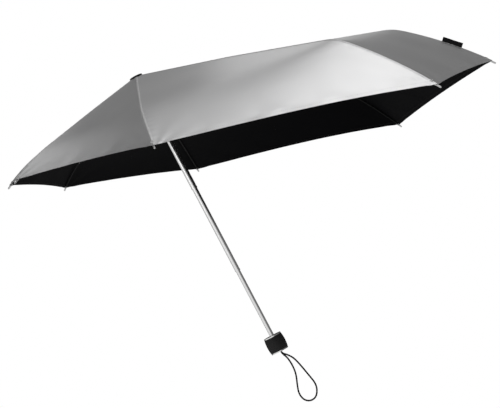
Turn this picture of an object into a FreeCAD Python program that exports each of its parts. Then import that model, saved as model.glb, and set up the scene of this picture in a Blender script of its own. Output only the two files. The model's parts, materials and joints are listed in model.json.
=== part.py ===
"""Folding storm umbrella with an offset pole: a short front, a long tail, eight three-part ribs.

Frame: millimetres, +Z up the pole, +X towards the long tail, origin at the centre of the hand grip.
Modelled open. Each rib is drawn in the XZ plane and then turned about Z to its own azimuth.
"""
import FreeCAD
import Part
import math
import os
from FreeCAD import Vector

# ---- overall sizes -----------------------------------------------------------------------------
OPEN_LENGTH = 571.0        # cap top to the underside of the grip, pole drawn out
CLOSED_LENGTH = 289.0      # the same, pole pushed together
GRIP_LENGTH = 32.0
CAP_TOP = OPEN_LENGTH - GRIP_LENGTH / 2
POLE_TRAVEL = OPEN_LENGTH - CLOSED_LENGTH

# ---- clearances --------------------------------------------------------------------------------
PIN_CLEAR = 0.05           # hinge pin in its hole, radial
TUBE_CLEAR = 0.10          # tube in tube, radial
RUNNER_CLEAR = 0.10        # runner bore on the top tube, radial
SIDE_CLEAR = 0.30          # flat sides of hinged parts
STEM_CLEAR = 0.05          # cap stem in the top tube, radial
TIP_CLEAR = 0.10           # bent rod in the tip's straight bore, radial
TOUCH_GAP = 0.30           # small gap between parts that move past each other
FOLD_GAP = 0.60            # fold axis to the flat faces of the ribs that fold together
FOOT_GAP = 0.60            # stretcher foot to the runner's slot floor
WINDOW_GAP = 0.10          # catch to the sides of its window
WINDOW_END_GAP = 0.15      # catch to the ends of its window
FABRIC_GAP = 0.80          # hinge ears to the middle of the fabric

# ---- pole --------------------------------------------------------------------------------------
TUBE_WALL = 0.6
TOP_TUBE_R = 5.5
MID_TUBE_R = TOP_TUBE_R - TUBE_WALL - TUBE_CLEAR
BOTTOM_TUBE_R = MID_TUBE_R - TUBE_WALL - TUBE_CLEAR
TOP_TUBE_SHOWN = 234.0     # cap top to the lower end of the top tube
MID_TUBE_SHOWN = 171.0     # mid tube below the top tube, drawn out
TUBE_OVERLAP = 15.0        # tube left inside the next one when drawn out
TUBE_IN_GRIP = 18.0
RIM_LENGTH = 3.0           # polished rim at the lower end of the top and mid tubes
RIM_HEIGHT = 0.25

# ---- crown -------------------------------------------------------------------------------------
CAP_THICK = 3.4
CAP_EDGE = 0.6
CAP_LIP = 1.9              # cap's edge outside the hub
STEM_LENGTH = 14.0
FABRIC_THICK = 0.4
SLOT_FLOOR_WALL = 1.7      # hub and runner between the top tube and their slots
HUB_RIM = 1.2              # hub outside the rib pivots
HUB_ROOF = 1.7             # hub above its slots
HUB_SKIRT = 2.2            # hub below the ribs' eyes

# ---- ribs --------------------------------------------------------------------------------------
RIB_SCALE = 1.0            # every rib segment against its length in the table below
PIN_R = 0.6
RIB_W = 3.8
RIB_H = 3.8
RIB_WALL = 0.5
MID_W = RIB_W - 0.4
EYE_LENGTH = 5.0           # solid length at the crown end of an inner rib
HINGE_OFF = RIB_H / 2 + FOLD_GAP   # fold axes above or below the rib's centre line
EAR_R = 1.4
TONGUE_R = 1.1
TONGUE_LENGTH = 9.0
TONGUE_LEAF = 0.7          # leaf past the rib's centre line, and short of the fold axis
HINGE_BACK = 3.0           # a folding part starts this far past its axis
ROOF_CUT = 4.0
ROD_R = 1.25
ROD_ARC_SHARE = 0.6        # where the rod's arc is pinned, between its sleeve and its end
SLEEVE_R = ROD_R + 0.5
SLEEVE_LENGTH = 12.0
TIP_R = ROD_R + 0.35
TIP_IN = 5.0               # rod inside the tip
BALL_R = TIP_R - 0.15
STRETCHER_W = RIB_W - 2 * RIB_WALL - 2 * SIDE_CLEAR
STRETCHER_H = 2.2
SLOT_WIDTH = RIB_W + 2 * SIDE_CLEAR
SLOT_ROOF = RIB_H / 2 + TOUCH_GAP          # slot above the rib pivots
SLOT_FLOOR_R = TOP_TUBE_R + SLOT_FLOOR_WALL    # both notched rings, crown and runner
RIB_PIVOT_R = SLOT_FLOOR_R + RIB_H / 2 + TOUCH_GAP
RIB_PIVOT_DROP = CAP_THICK + FABRIC_THICK + HUB_ROOF + SLOT_ROOF   # below the cap top
HUB_R = RIB_PIVOT_R + HUB_RIM
HUB_HEIGHT = HUB_ROOF + SLOT_ROOF + RIB_H / 2 + HUB_SKIRT
CAP_R = HUB_R + CAP_LIP

# name, azimuth, inner length and droop, mid length and droop, outer length, droop and bend, tip length
RIBS = (
    ("tail", 0, 234.0, 16.7, 234.0, 18.5, 192.0, 39.0, 13.0, 9.0),
    ("rear_right", 45, 238.0, 16.7, 238.0, 18.0, 203.0, 40.5, 12.0, 7.4),
    ("side_right", 90, 156.0, 16.4, 160.0, 17.2, 163.0, 21.5, 15.0, 7.4),
    ("front_right", 135, 131.0, 13.1, 132.0, 13.8, 89.0, 15.5, 9.0, 7.4),
    ("front", 180, 115.0, 9.4, 115.0, 11.3, 71.0, 13.5, 13.0, 7.4),
    ("front_left", -135, 131.0, 13.1, 132.0, 13.8, 89.0, 15.5, 9.0, 7.4),
    ("side_left", -90, 156.0, 16.4, 160.0, 17.2, 163.0, 21.5, 15.0, 7.4),
    ("rear_left", -45, 238.0, 16.7, 238.0, 18.0, 203.0, 40.5, 12.0, 7.4),
)

# ---- runner ------------------------------------------------------------------------------------
RUNNER_PIVOT_R = SLOT_FLOOR_R + STRETCHER_H / 2 + FOOT_GAP
RUNNER_OPEN = 60.0         # rib pivots down to the stretcher pivots, open
RUNNER_CLOSED = 200.0
RUNNER_WALL = 1.2
RUNNER_SLEEVE_R = TOP_TUBE_R + RUNNER_CLEAR + RUNNER_WALL
RUNNER_ABOVE = 5.0         # sleeve above the stretcher pivots
RUNNER_BELOW = 17.0
FLANGE_RIM = 1.9           # flange outside the stretcher pivots
FLANGE_R = RUNNER_PIVOT_R + FLANGE_RIM
FLANGE_HALF = 3.0
COLLAR_HEIGHT = 2.0
COLLAR_WALL = 0.35

# ---- catch in the top tube ---------------------------------------------------------------------
CATCH_AZIMUTH = 22.5
CATCH_W = 1.8
CATCH_H = 6.0
CATCH_OUT = 1.1            # nose outside the tube
CATCH_IN = 1.6             # heel inside the tube's bore
CATCH_ABOVE_PIVOT = 3.0    # nose centre against the open stretcher pivots
SPRING_THICK = 0.3
SPRING_RISE = 20.0
SPRING_LEAN = 0.8          # spring's top, as a share of the way to the far wall

# ---- canopy ------------------------------------------------------------------------------------
FABRIC_OFF = HINGE_OFF + EAR_R + FABRIC_GAP    # rib centre line to the middle of the fabric
FABRIC_TIP_OFF = TIP_R + FOLD_GAP
HEM_IN = 3.0               # fabric stops this far short of the rod's end
FABRIC_HOLE_R = TOP_TUBE_R + 0.9
FABRIC_FLAT_R = CAP_R + 1.2
HEM_SCALLOP = 0.018        # how far a panel's hem curves in, as a share of its reach
TAIL_SCALLOP = 0.25        # the two tail panels' curve, as a share of the others'
RIB_STATIONS = (0.12, 0.55)  # fabric stations along the inner rib
MID_STATIONS = (0.0, 0.5)
OUTER_STATIONS = (0.0, 0.33, 0.67, 1.0)

# ---- label tab on the tail seam ------------------------------------------------------------------
TAB_LENGTH = 38.0
TAB_HEIGHT = 8.6
TAB_THICK = 0.8
TAB_FROM_TIP = 82.0        # tab centre to the end of the tail rod
TAB_LIFT = 0.15            # foot of the tab above the fabric's middle

# ---- grip --------------------------------------------------------------------------------------
GRIP_R = 18.4
GRIP_END_R = GRIP_R - 1.4
RING_R = GRIP_END_R - 0.2
RING_HEIGHT = 2.0
RING_WALL = 1.6
CORE_R = GRIP_R - 6.4
TOP_PLATE_DROP = 1.0       # dark top plate below the ring's rim
TOP_PLATE_THICK = 1.6
BASE_PLATE_DROP = 0.6
CROSS_PIN_R = 1.0
ANCHOR_R = 4.2
ANCHOR_FLANGE_R = 5.4
ANCHOR_FLANGE = 0.9
ANCHOR_LENGTH = 7.0

# ---- wrist cord --------------------------------------------------------------------------------
CORD_R = 1.6
CORD_FOOT = -GRIP_LENGTH / 2 + BASE_PLATE_DROP - ANCHOR_FLANGE
CORD_DROPS = (             # x and y, and the height against the anchor's lower face
    (1.2, -2.2, 0.0), (1.2, -2.2, -5.0), (6.6, -1.9, -16.4), (8.1, -1.3, -33.7),
    (6.2, -0.7, -50.7), (-0.8, 0.0, -68.2), (-6.2, 0.2, -84.7), (-2.8, 0.3, -99.9),
    (8.6, 0.4, -106.9), (21.8, 0.6, -103.2), (30.6, 0.8, -85.2), (25.9, 1.2, -62.2),
    (20.4, 1.5, -36.7), (16.0, 1.9, -21.9), (8.4, 2.2, -11.5), (1.2, 2.2, -5.0),
    (1.2, 2.2, 0.0),
)
CORD_POINTS = [(x, y, CORD_FOOT + z) for x, y, z in CORD_DROPS]
CORD_SHARE = 0.45          # arc tangent as a share of the shorter run

ORIGIN = Vector(0, 0, 0)
AXIS_X = Vector(1, 0, 0)
AXIS_Y = Vector(0, 1, 0)
AXIS_Z = Vector(0, 0, 1)
PITCH = 360.0 / len(RIBS)


# ---- small helpers -------------------------------------------------------------------------------
def rod(r, start, end):
    """A cylinder between two points."""
    along = end - start
    return Part.makeCylinder(r, along.Length, start, along)


def ring(outer, inner, z0, z1):
    """A tube about Z from z0 to z1."""
    solid = Part.makeCylinder(outer, z1 - z0, Vector(0, 0, z0))
    return solid.cut(Part.makeCylinder(inner, z1 - z0 + 2, Vector(0, 0, z0 - 1)))


def block(x0, x1, y, z0, z1):
    """A box from x0 to x1 and z0 to z1 that reaches y to each side of the XZ plane."""
    return Part.makeBox(x1 - x0, 2 * y, z1 - z0, Vector(x0, -y, z0))


def cross_rod(r, half, x, z):
    """A cylinder along Y, half to each side of the XZ plane."""
    return Part.makeCylinder(r, 2 * half, Vector(x, -half, z), AXIS_Y)


def lathe(points):
    """A solid of revolution about Z from (radius, height) points."""
    wire = Part.makePolygon([Vector(r, 0, z) for r, z in [*points, points[0]]])
    return Part.Face(wire).revolve(ORIGIN, AXIS_Z, 360)


def joined(first, *others):
    """One clean solid from several that overlap."""
    return first.fuse(list(others)).removeSplitter() if others else first


def turned(shape, angle):
    """A copy turned about the pole."""
    copy = shape.copy()
    copy.rotate(ORIGIN, AXIS_Z, angle)
    return copy


def along_rib(shape, start, droop):
    """A copy of a shape drawn along +X, moved to start and drooped below the horizontal."""
    copy = shape.copy()
    copy.rotate(ORIGIN, AXIS_Y, droop)
    copy.translate(start)
    return copy


def heading(droop):
    """Unit vector in the XZ plane that droops below the horizontal."""
    return Vector(math.cos(math.radians(droop)), 0, -math.sin(math.radians(droop)))


def normal(droop):
    """Unit vector in the XZ plane on the fabric side of a line with this droop."""
    return Vector(math.sin(math.radians(droop)), 0, math.cos(math.radians(droop)))


def save(shape, name):
    """Write one node."""
    if not shape.isValid():
        raise ValueError(name + " isn't valid")
    shape.exportStep("parts/" + name + ".step")


# ---- where each rib lies, in its own XZ plane ------------------------------------------------------
class RibLine:
    """The centre line of one open rib: three segments and the pivots on it."""

    def __init__(self, row):
        (self.name, self.azimuth, self.inner, self.inner_droop, self.mid, self.mid_droop,
         self.outer, self.outer_droop, self.bend, self.tip) = row
        self.inner *= RIB_SCALE
        self.mid *= RIB_SCALE
        self.outer *= RIB_SCALE
        self.crown = Vector(RIB_PIVOT_R, 0, CAP_TOP - RIB_PIVOT_DROP)
        inner_end = self.crown + heading(self.inner_droop) * self.inner
        self.fold_up = inner_end + normal(self.inner_droop) * HINGE_OFF
        self.mid_start = self.fold_up - normal(self.mid_droop) * HINGE_OFF
        mid_end = self.mid_start + heading(self.mid_droop) * self.mid
        self.fold_down = mid_end - normal(self.mid_droop) * HINGE_OFF
        self.outer_start = self.fold_down + normal(self.outer_droop) * HINGE_OFF

    def stretcher_pivot(self):
        """Distance from the crown pivot to the stretcher pivot, so that both ends of the travel close."""
        a = math.radians(self.inner_droop)
        offset = RIB_PIVOT_R - RUNNER_PIVOT_R
        reach = RUNNER_CLOSED - RUNNER_OPEN * math.sin(a) + offset * math.cos(a)
        return (RUNNER_CLOSED ** 2 - RUNNER_OPEN ** 2) / (2 * reach)

    def rod_point(self, share):
        """Point and droop on the outer rod's centre line, in the rib's plane."""
        straight = SLEEVE_LENGTH
        curved = self.outer - straight
        run = share * self.outer
        bend = math.radians(self.bend)
        radius = curved / bend
        turn = max(0.0, run - straight) / radius
        x = min(run, straight) + radius * math.sin(turn)
        z = -radius * (1 - math.cos(turn))
        local = heading(self.outer_droop) * x + normal(self.outer_droop) * z
        return self.outer_start + local, self.outer_droop + math.degrees(turn)


LINES = [RibLine(row) for row in RIBS]
RUNNER_Z = CAP_TOP - RIB_PIVOT_DROP - RUNNER_OPEN


# ---- ribs --------------------------------------------------------------------------------------
def hinge_ears(x, z, inside, outside, towards):
    """Two ears about a fold axis at (x, z); towards is the z on the rib that they grow from."""
    low, high = min(z, towards), max(z, towards)
    ear = joined(cross_rod(EAR_R, outside, x, z), block(x - EAR_R, x + EAR_R, outside, low, high))
    return ear.cut(block(x - 2 * EAR_R, x + 2 * EAR_R, inside, low - 2 * EAR_R, high + 2 * EAR_R))


def channel(x0, x1, width):
    """A channel open downwards, from x0 to x1."""
    shell = block(x0, x1, width / 2, -RIB_H / 2, RIB_H / 2)
    return shell.cut(block(x0 - 1, x1 + 1, width / 2 - RIB_WALL, -RIB_H, RIB_H / 2 - RIB_WALL))


def inner_rib(line):
    """Channel from the crown pivot to the first fold, which is above it."""
    inside = RIB_W / 2 - RIB_WALL
    end = line.inner
    body = channel(EYE_LENGTH, end + EAR_R, RIB_W)
    eye = joined(cross_rod(RIB_H / 2, RIB_W / 2, 0, 0),
                 block(0, EYE_LENGTH + 1, RIB_W / 2, -RIB_H / 2, RIB_H / 2))
    body = joined(body, eye)
    body = body.cut(block(end - ROOF_CUT, end + 2 * EAR_R, inside, -RIB_H, RIB_H))
    body = joined(body, hinge_ears(end, HINGE_OFF, inside, RIB_W / 2, 0))
    for x, z in ((0, 0), (line.stretcher_pivot(), 0), (end, HINGE_OFF)):
        body = body.cut(cross_rod(PIN_R + PIN_CLEAR, RIB_W, x, z))
    return along_rib(body, line.crown, line.inner_droop)


def tongue(half, side):
    """Hinge tongue about an axis at z = side * HINGE_OFF, with the leaf that joins it to its rib."""
    leaf_top = side * (HINGE_OFF - TONGUE_LEAF)
    leaf_low = -side * TONGUE_LEAF
    leaf = block(0, TONGUE_LENGTH, half, min(leaf_top, leaf_low), max(leaf_top, leaf_low))
    return joined(cross_rod(TONGUE_R, half, 0, side * HINGE_OFF), leaf)


def mid_rib(line):
    """Channel between the two folds, with a tongue and pin at one end and ears at the other."""
    inside = MID_W / 2 - RIB_WALL
    body = channel(HINGE_BACK, line.mid + EAR_R, MID_W)
    lead = tongue(RIB_W / 2 - RIB_WALL - SIDE_CLEAR, 1)
    pin = cross_rod(PIN_R, RIB_W / 2, 0, HINGE_OFF)
    ears = hinge_ears(line.mid, -HINGE_OFF, inside, MID_W / 2, 0)
    body = joined(body, lead, pin, ears)
    body = body.cut(cross_rod(PIN_R + PIN_CLEAR, RIB_W, line.mid, -HINGE_OFF))
    return along_rib(body, line.mid_start, line.mid_droop)


def outer_rib(line):
    """Sprung rod: a hinge tongue and sleeve, then a rod that bends gently down to the tip."""
    lead = tongue(MID_W / 2 - RIB_WALL - SIDE_CLEAR, -1)
    pin = cross_rod(PIN_R, MID_W / 2, 0, -HINGE_OFF)
    sleeve = rod(SLEEVE_R, Vector(HINGE_BACK, 0, 0), Vector(SLEEVE_LENGTH, 0, 0))
    root = along_rib(joined(lead, pin, sleeve), line.outer_start, line.outer_droop)
    a, b, c = (line.rod_point(s)[0] for s in (SLEEVE_LENGTH / line.outer, ROD_ARC_SHARE, 1.0))
    arc = Part.Wire([Part.Arc(a, b, c).toShape()])
    disc = Part.Face(Part.Wire([Part.Circle(a, heading(line.outer_droop), ROD_R).toShape()]))
    return joined(root, arc.makePipe(disc))


def rib_tip(line):
    """Metal tip pushed over the rod's end, with a small ball."""
    body = joined(rod(TIP_R, Vector(-TIP_IN, 0, 0), Vector(line.tip - TIP_IN, 0, 0)),
                  Part.makeSphere(BALL_R, Vector(line.tip - TIP_IN, 0, 0)))
    body = body.cut(rod(ROD_R + TIP_CLEAR, Vector(-TIP_IN - 1, 0, 0), Vector(TIP_CLEAR, 0, 0)))
    end, droop = line.rod_point(1.0)
    return along_rib(body, end, droop)


def stretcher(line):
    """Flat bar that nests in the inner rib, with a pin at the top and an eye at the foot."""
    top = line.crown + heading(line.inner_droop) * line.stretcher_pivot()
    foot = Vector(RUNNER_PIVOT_R, 0, RUNNER_Z)
    length = (foot - top).Length
    half = STRETCHER_H / 2
    bar = joined(block(0, length, STRETCHER_W / 2, -half, half),
                 *[cross_rod(half, STRETCHER_W / 2, x, 0) for x in (0, length)],
                 cross_rod(PIN_R, RIB_W / 2, 0, 0))
    bar = bar.cut(cross_rod(PIN_R + PIN_CLEAR, RIB_W, length, 0))
    way = foot - top
    return along_rib(bar, top, math.degrees(math.atan2(-way.z, way.x)))


# ---- pole and crown ------------------------------------------------------------------------------
def tube(outer, z0, z1, rim):
    """A pole tube, with a raised rim at its lower end if asked."""
    body = ring(outer, outer - TUBE_WALL, z0, z1)
    if rim:
        body = joined(body, ring(outer + RIM_HEIGHT, outer - TUBE_WALL / 2, z0, z0 + RIM_LENGTH))
    return body


TOP_TUBE_END = CAP_TOP - TOP_TUBE_SHOWN
MID_TUBE_END = TOP_TUBE_END - MID_TUBE_SHOWN
CROWN_FACE = CAP_TOP - CAP_THICK - FABRIC_THICK
GRIP_TOP = GRIP_LENGTH / 2
GRIP_BASE = -GRIP_LENGTH / 2
CATCH_Z = RUNNER_Z + CATCH_ABOVE_PIVOT


def pole():
    """Three tubes, the top one with a window for the catch."""
    half_height = CATCH_H / 2 + WINDOW_END_GAP
    window = block(0, 2 * TOP_TUBE_R, CATCH_W / 2 + WINDOW_GAP, CATCH_Z - half_height,
                   CATCH_Z + half_height)
    top = tube(TOP_TUBE_R, TOP_TUBE_END, CROWN_FACE, True).cut(turned(window, CATCH_AZIMUTH))
    mid = tube(MID_TUBE_R, MID_TUBE_END, TOP_TUBE_END + TUBE_OVERLAP, True)
    bottom = tube(BOTTOM_TUBE_R, GRIP_TOP - TUBE_IN_GRIP, MID_TUBE_END + TUBE_OVERLAP, False)
    return top, mid, bottom


def notches(z0, z1):
    """Slots for the ribs in a ring about the pole, from the slot floor outwards."""
    slot = block(SLOT_FLOOR_R, 2 * HUB_R, SLOT_WIDTH / 2, z0, z1)
    return [turned(slot, line.azimuth) for line in LINES]


def pivot_wire(radius, z):
    """Eight-sided wire with mitred corners, whose straight sides are the rib pivots."""
    half = radius * math.tan(math.radians(PITCH / 2))
    corners = [Vector(0, 0, z - radius), Vector(2 * radius, -2 * half, z - radius),
               Vector(2 * radius, 2 * half, z - radius)]
    sector = Part.Face(Part.makePolygon([*corners, corners[0]])).extrude(Vector(0, 0, 2 * radius))
    side = cross_rod(PIN_R, 2 * half, radius, z).common(sector)
    sides = [turned(side, line.azimuth) for line in LINES]
    return joined(*sides)


def crown():
    """Notched hub, the wire that carries the ribs, and the cap that clamps the fabric."""
    pivot_z = CAP_TOP - RIB_PIVOT_DROP
    base = CROWN_FACE - HUB_HEIGHT
    wire = pivot_wire(RIB_PIVOT_R, pivot_z)
    hub = ring(HUB_R, TOP_TUBE_R, base, CROWN_FACE)
    hub = hub.cut(notches(base - 1, pivot_z + SLOT_ROOF)).cut(wire)
    cap = lathe([(0, CAP_TOP), (CAP_R - CAP_EDGE, CAP_TOP), (CAP_R, CAP_TOP - CAP_EDGE),
                 (CAP_R, CAP_TOP - CAP_THICK), (TOP_TUBE_R - TUBE_WALL - STEM_CLEAR, CAP_TOP - CAP_THICK),
                 (TOP_TUBE_R - TUBE_WALL - STEM_CLEAR, CROWN_FACE - STEM_LENGTH),
                 (0, CROWN_FACE - STEM_LENGTH)])
    return hub, wire, cap


def runner():
    """Sleeve on the top tube with a notched flange, split along one side for the catch."""
    bore = TOP_TUBE_R + RUNNER_CLEAR
    low, high = RUNNER_Z - RUNNER_BELOW, RUNNER_Z + RUNNER_ABOVE
    flange = ring(FLANGE_R, bore, RUNNER_Z - FLANGE_HALF, RUNNER_Z + FLANGE_HALF)
    flange = flange.cut(notches(RUNNER_Z - 2 * FLANGE_HALF, RUNNER_Z + 2 * FLANGE_HALF))
    body = joined(ring(RUNNER_SLEEVE_R, bore, low, high), flange)
    split = block(0, TOP_TUBE_R + CATCH_OUT + TOUCH_GAP, CATCH_W / 2 + TOUCH_GAP, low - 1, high + 1)
    body = body.cut(turned(split, CATCH_AZIMUTH))
    waist = ring(RUNNER_SLEEVE_R + 1, RUNNER_SLEEVE_R - COLLAR_WALL, low, low + COLLAR_HEIGHT)
    collar = ring(RUNNER_SLEEVE_R, RUNNER_SLEEVE_R - COLLAR_WALL, low, low + COLLAR_HEIGHT)
    collar = collar.cut(turned(split, CATCH_AZIMUTH))
    return body.cut(waist), collar


def catch():
    """Nose that stands out of the top tube's window, and the leaf spring behind it."""
    bore = TOP_TUBE_R - TUBE_WALL
    heel = bore - CATCH_IN
    tip = TOP_TUBE_R + CATCH_OUT
    outline = [(heel, -CATCH_H / 2), (bore, -CATCH_H / 2), (tip, CATCH_H / 6),
               (tip, CATCH_H / 2), (heel, CATCH_H / 2)]
    points = [Vector(x, -CATCH_W / 2, CATCH_Z + z) for x, z in outline]
    nose = Part.Face(Part.makePolygon([*points, points[0]])).extrude(Vector(0, CATCH_W, 0))
    far = -bore * SPRING_LEAN
    side = [(heel, -CATCH_H / 2), (heel, CATCH_H / 2), (far, SPRING_RISE),
            (far - SPRING_THICK, SPRING_RISE), (heel - SPRING_THICK, CATCH_H / 2),
            (heel - SPRING_THICK, -CATCH_H / 2)]
    leaf = [Vector(x, -CATCH_W / 2, CATCH_Z + z) for x, z in side]
    spring = Part.Face(Part.makePolygon([*leaf, leaf[0]])).extrude(Vector(0, CATCH_W, 0))
    return turned(nose, CATCH_AZIMUTH), turned(spring, CATCH_AZIMUTH)


# ---- canopy --------------------------------------------------------------------------------------
def fabric_line(line):
    """Points of the fabric over one rib, from the crown's edge to the tip, in the rib's plane."""
    points = [Vector(FABRIC_HOLE_R, 0, CROWN_FACE + FABRIC_THICK / 2),
              Vector(FABRIC_FLAT_R, 0, CROWN_FACE + FABRIC_THICK / 2)]
    inner = line.crown + normal(line.inner_droop) * FABRIC_OFF
    points += [inner + heading(line.inner_droop) * (s * line.inner) for s in RIB_STATIONS]
    middle = line.mid_start + normal(line.mid_droop) * FABRIC_OFF
    points += [middle + heading(line.mid_droop) * (s * line.mid) for s in MID_STATIONS]
    last = 1 - HEM_IN / line.outer
    for s in OUTER_STATIONS:
        centre, droop = line.rod_point(s * last)
        lift = FABRIC_OFF + (FABRIC_TIP_OFF - FABRIC_OFF) * s
        shade = (line.mid_droop + line.outer_droop) / 2 if s == 0 else droop
        points.append(centre + normal(shade) * lift)
    return points


def canopy():
    """Thin closed skin through the fabric lines, with each panel's hem curving in between its ribs."""
    spokes = []
    lines = sorted(LINES, key=lambda line: line.azimuth % 360)
    for line, after in zip(lines, [*lines[1:], lines[0]]):
        here, there = fabric_line(line), fabric_line(after)
        turn, turn_after = math.radians(line.azimuth), math.radians(line.azimuth + PITCH)
        ridge = [Vector(p.x * math.cos(turn), p.x * math.sin(turn), p.z) for p in here]
        beyond = [Vector(p.x * math.cos(turn_after), p.x * math.sin(turn_after), p.z) for p in there]
        count = len(ridge) - 1
        middle = []
        for i, (p, q) in enumerate(zip(ridge, beyond)):
            pull = HEM_SCALLOP * max(0.0, (i - count + 2) / 2)
            pull *= TAIL_SCALLOP if "tail" in (line.name, after.name) else 1.0
            m = (p + q) * 0.5
            back = (ridge[i - 1] + beyond[i - 1]) * 0.5 - m if i else Vector()
            reach = pull * math.hypot(m.x, m.y)
            middle.append(m + back.normalize() * reach if pull else m)
        spokes += [ridge, middle]
    return skin(spokes, FABRIC_THICK)


def skin(spokes, thick):
    """Close a fan of spokes, all with as many points, into a solid that is thick along Z."""
    up, down = Vector(0, 0, thick / 2), Vector(0, 0, -thick / 2)
    faces = []

    def triangle(a, b, c):
        faces.append(Part.Face(Part.makePolygon([a, b, c, a])))

    for one, two in zip(spokes, [*spokes[1:], spokes[0]]):
        for i in range(len(one) - 1):
            a, b, c, d = one[i], one[i + 1], two[i + 1], two[i]
            for shift in (up, down):
                triangle(a + shift, b + shift, c + shift)
                triangle(a + shift, c + shift, d + shift)
        for i in (0, len(one) - 1):
            triangle(one[i] + up, one[i] + down, two[i] + down)
            triangle(one[i] + up, two[i] + down, two[i] + up)
    shell = Part.Shell(faces)
    solid = Part.Solid(shell)
    if solid.Volume < 0:
        solid.reverse()
    return solid


def label_tab():
    """Bare woven tab that stands on the tail seam."""
    line = LINES[0]
    centre, droop = line.rod_point(1 - TAB_FROM_TIP / line.outer)
    share = (1 - TAB_FROM_TIP / line.outer) / (1 - HEM_IN / line.outer)
    lift = FABRIC_OFF + (FABRIC_TIP_OFF - FABRIC_OFF) * share + TAB_LIFT
    tab = block(-TAB_LENGTH / 2, TAB_LENGTH / 2, TAB_THICK / 2, lift, lift + TAB_HEIGHT)
    return along_rib(tab, centre, droop)


# ---- grip and cord ---------------------------------------------------------------------------------
def grip():
    """Rubber barrel, the core that holds the tube, two rings, a base plate, anchor and cross pin."""
    top_face = GRIP_TOP - TOP_PLATE_DROP
    base_face = GRIP_BASE + BASE_PLATE_DROP
    barrel_top = GRIP_TOP - RING_HEIGHT
    barrel_base = GRIP_BASE + RING_HEIGHT
    ring_bore = RING_R - RING_WALL
    profile = Part.Wire([
        Part.makeLine(Vector(CORE_R, 0, barrel_base), Vector(GRIP_END_R, 0, barrel_base)),
        Part.Arc(Vector(GRIP_END_R, 0, barrel_base), Vector(GRIP_R, 0, 0),
                 Vector(GRIP_END_R, 0, barrel_top)).toShape(),
        Part.makeLine(Vector(GRIP_END_R, 0, barrel_top), Vector(CORE_R, 0, barrel_top)),
        Part.makeLine(Vector(CORE_R, 0, barrel_top), Vector(CORE_R, 0, barrel_base))])
    barrel = Part.Face(profile).revolve(ORIGIN, AXIS_Z, 360)
    plate_low = top_face - TOP_PLATE_THICK
    core = joined(Part.makeCylinder(CORE_R, barrel_top - barrel_base, Vector(0, 0, barrel_base)),
                  Part.makeCylinder(ring_bore, top_face - barrel_top, Vector(0, 0, barrel_top)))
    tube_foot = GRIP_TOP - TUBE_IN_GRIP
    core = core.cut(Part.makeCylinder(BOTTOM_TUBE_R, top_face - tube_foot + 1, Vector(0, 0, tube_foot)))
    anchor_top = base_face + ANCHOR_LENGTH
    core = core.cut(Part.makeCylinder(ANCHOR_R, anchor_top - base_face, Vector(0, 0, base_face)))
    pin_z = (GRIP_TOP + tube_foot) / 2
    pin = cross_rod(CROSS_PIN_R, CORE_R - 1, 0, pin_z)
    core = core.cut(pin)
    rings = [ring(RING_R, ring_bore, z, z + RING_HEIGHT) for z in (barrel_top, GRIP_BASE)]
    plate = ring(ring_bore, ANCHOR_R, base_face, barrel_base)
    anchor = joined(Part.makeCylinder(ANCHOR_R, anchor_top - base_face, Vector(0, 0, base_face)),
                    Part.makeCylinder(ANCHOR_FLANGE_R, ANCHOR_FLANGE,
                                      Vector(0, 0, base_face - ANCHOR_FLANGE)))
    return {"handle_grip": barrel, "handle_core": core, "handle_top_ring": rings[0],
            "handle_base_ring": rings[1], "handle_base_plate": plate, "strap_anchor": anchor,
            "handle_cross_pin": pin}, pin


def cord_path():
    """Straight runs joined by tangent arcs, each arc as large as its two runs allow."""
    corners = [Vector(*p) for p in CORD_POINTS]
    edges, radii, at = [], [], corners[0]
    for before, corner, after in zip(corners, corners[1:], corners[2:]):
        back, on = before - corner, after - corner
        tangent = CORD_SHARE * min(back.Length, on.Length)
        half_turn = (math.pi - back.getAngle(on)) / 2
        radii.append(tangent / math.tan(half_turn))
        start = corner + back.normalize() * tangent
        end = corner + on.normalize() * tangent
        bisector = (back + on).normalize()
        centre = corner + bisector * (radii[-1] / math.cos(half_turn))
        middle = centre - bisector * radii[-1]
        edges += [Part.LineSegment(at, start).toShape(), Part.Arc(start, middle, end).toShape()]
        at = end
    edges.append(Part.LineSegment(at, corners[-1]).toShape())
    return Part.Wire(edges), radii


def wrist_cord():
    """The cord's plain tube along its whole path."""
    path, radii = cord_path()
    first, second = Vector(*CORD_POINTS[0]), Vector(*CORD_POINTS[1])
    disc = Part.Face(Part.Wire([Part.Circle(first, second - first, CORD_R).toShape()]))
    body = path.makePipe(disc)
    print("cord length", round(path.Length, 1), "radii", [round(r, 1) for r in radii])
    print("cord volume share", round(body.Volume / (math.pi * CORD_R ** 2 * path.Length), 4))
    return body


def main():
    """Build every node and write it."""
    os.makedirs("parts", exist_ok=True)
    for line in LINES:
        pieces = {"inner_rib": inner_rib(line), "mid_rib": mid_rib(line), "outer_rib": outer_rib(line),
                  "tip": rib_tip(line), "stretcher": stretcher(line)}
        for name, shape in pieces.items():
            save(turned(shape, line.azimuth), line.name + "_" + name)
    top, mid, bottom = pole()
    parts, pin = grip()
    save(top, "top_tube")
    save(mid, "mid_tube")
    save(bottom.cut(pin), "bottom_tube")
    for name, shape in parts.items():
        save(shape, name)
    for name, shape in zip(("crown_hub", "crown_wire", "crown_cap"), crown()):
        save(shape, name)
    for name, shape in zip(("runner", "runner_collar"), runner()):
        save(shape, name)
    for name, shape in zip(("catch_nose", "catch_spring"), catch()):
        save(shape, name)
    save(canopy(), "canopy")
    save(label_tab(), "label_tab")
    save(wrist_cord(), "wrist_cord")


main()
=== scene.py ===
"""Looks of a compact folding umbrella whose canopy reaches far out behind its pole."""

import json
import logging
import math
from dataclasses import dataclass
from enum import Enum
from typing import Sequence

import bpy
import numpy as np
from mathutils import Matrix, Vector


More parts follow.
